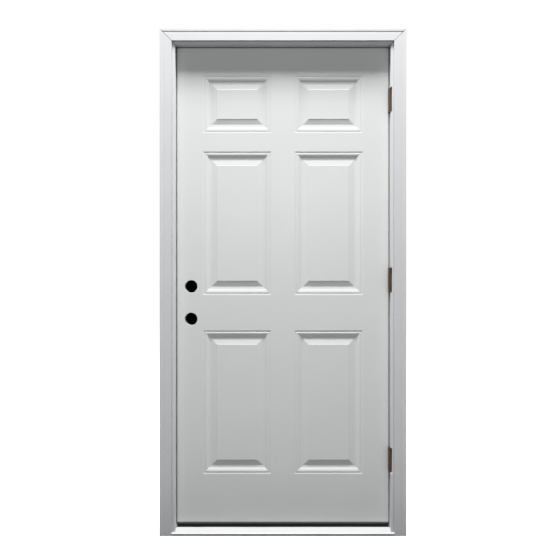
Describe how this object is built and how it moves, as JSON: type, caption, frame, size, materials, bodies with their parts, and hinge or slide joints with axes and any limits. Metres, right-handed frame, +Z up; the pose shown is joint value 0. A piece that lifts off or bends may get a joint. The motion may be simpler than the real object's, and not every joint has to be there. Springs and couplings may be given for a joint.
{
  "type": "prehung panelled entrance door",
  "caption": "Panelled entrance door hung on butt hinges in a rabbeted frame with brickmould casing, sill and seals; it swings outwards and is bored for a lockset and a deadbolt.",
  "frame": {"origin": "middle of the sill's underside, on the plane of the jambs' outside edges", "axes": "+X to the right seen from outside, towards the hinges; +Y into the building; +Z up"},
  "size_m": [1.0428, 0.1477, 2.1439],
  "materials": {
    "slab_paint": "factory white, satin",
    "frame_paint": "white paint on timber, satin",
    "primed_timber": "primed white",
    "bare_timber": "sawn",
    "foam": "cellular polyurethane",
    "black_vinyl": "matt",
    "seal_foam": "bronze-black film over foam",
    "sill_aluminium": "mill, satin",
    "sill_composite": "moulded composite",
    "bronze": "dark bronze with brown sheen",
    "screw_steel": "zinc plated"
  },
  "bodies": {
    "frame": {"hinge_jamb": "frame_paint", "strike_jamb": "frame_paint", "head_jamb": "frame_paint", "brickmould_hinge_side": "frame_paint", "brickmould_strike_side": "frame_paint", "brickmould_head": "frame_paint", "sill_deck": "sill_aluminium", "sill_base": "sill_composite", "sill_bumper_seal": "black_vinyl", "weatherstrip_hinge_side": "seal_foam", "weatherstrip_strike_side": "seal_foam", "weatherstrip_head": "seal_foam", "hinge_top_frame_leaf": "bronze", "hinge_middle_frame_leaf": "bronze", "hinge_bottom_frame_leaf": "bronze", "hinge_top_pin": "bronze", "hinge_middle_pin": "bronze", "hinge_bottom_pin": "bronze", "frame_leaf_screws": "bronze", "head_corner_screws": "screw_steel", "sill_screws": "screw_steel"},
    "door": {"exterior_skin": "slab_paint", "interior_skin": "slab_paint", "foam_core": "foam", "hinge_stile": "primed_timber", "lock_stile": "primed_timber", "lock_block": "bare_timber", "top_rail": "primed_timber", "bottom_rail": "primed_timber", "door_sweep": "black_vinyl", "sweep_screws": "screw_steel", "hinge_top_door_leaf": "bronze", "hinge_middle_door_leaf": "bronze", "hinge_bottom_door_leaf": "bronze", "door_leaf_screws": "bronze"}
  },
  "joints": [
    {"name": "door_swing", "type": "hinge", "parent": "frame", "child": "door", "pos_m": [0.45561, -0.0127, 1.07], "axis": [0, 0, 1], "range_deg": [0, 150]}
  ]
}
